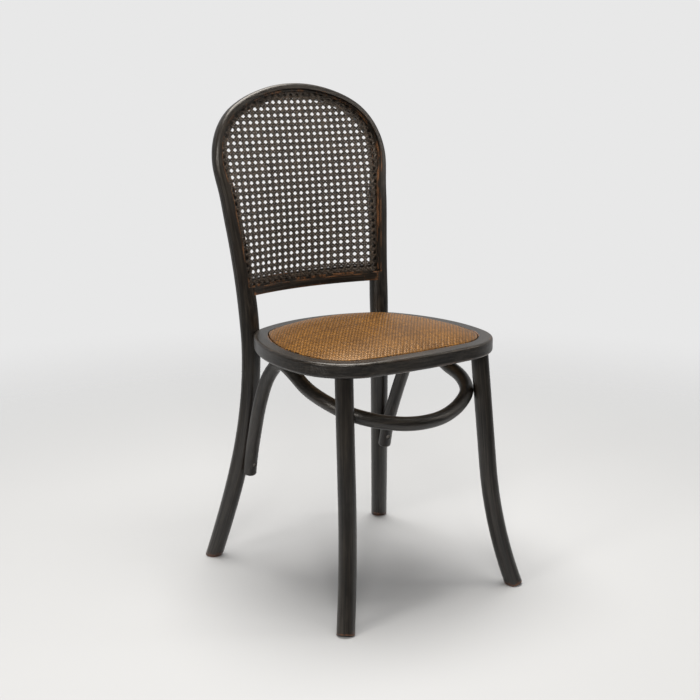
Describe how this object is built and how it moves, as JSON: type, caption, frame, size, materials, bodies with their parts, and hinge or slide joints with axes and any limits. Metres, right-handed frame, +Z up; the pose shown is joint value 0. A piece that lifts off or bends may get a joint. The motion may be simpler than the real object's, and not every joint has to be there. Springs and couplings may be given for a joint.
{
  "type": "bentwood bistro chair",
  "caption": "Bentwood side chair with a round ring seat in woven rattan, an arched caned back, flared round legs and a bent brace.",
  "frame": {"origin": "middle of the footprint on the floor", "axes": "+Z up, -Y to the front of the chair, +X to the chair's left as one sits in it"},
  "size_m": [0.4272, 0.4813, 0.894],
  "materials": {
    "stained_beech": "near-black stained bentwood beech, satin, grain showing",
    "stained_cane": "dark stained woven cane, open six-way weave",
    "stained_cane_strip": "dark stained cane spline",
    "raw_beech": "raw beech",
    "plywood": "raw plywood",
    "horsehair_pad": "felted fibre pad",
    "honey_rattan": "fine woven rattan, honey brown",
    "steel_wire": "plain steel wire",
    "steel_screws": "darkened steel"
  },
  "bodies": {
    "root": {"back_hoop": "stained_beech", "back_lower_rail": "stained_beech", "seat_ring": "stained_beech", "front_leg_right": "stained_beech", "front_leg_left": "stained_beech", "leg_brace": "stained_beech", "back_cane_panel": "stained_cane", "cane_strip_arch": "stained_cane_strip", "cane_strip_rail": "stained_cane_strip", "rail_dowels": "raw_beech", "seat_board": "plywood", "seat_pad": "horsehair_pad", "seat_woven_cover": "honey_rattan", "cover_staples": "steel_wire", "seat_board_screws": "steel_screws", "seat_bolts": "steel_screws", "seat_bolt_washers": "steel_screws", "brace_rear_screws": "steel_screws", "brace_ring_screws": "steel_screws", "brace_front_screws": "steel_screws"}
  },
  "joints": []
}
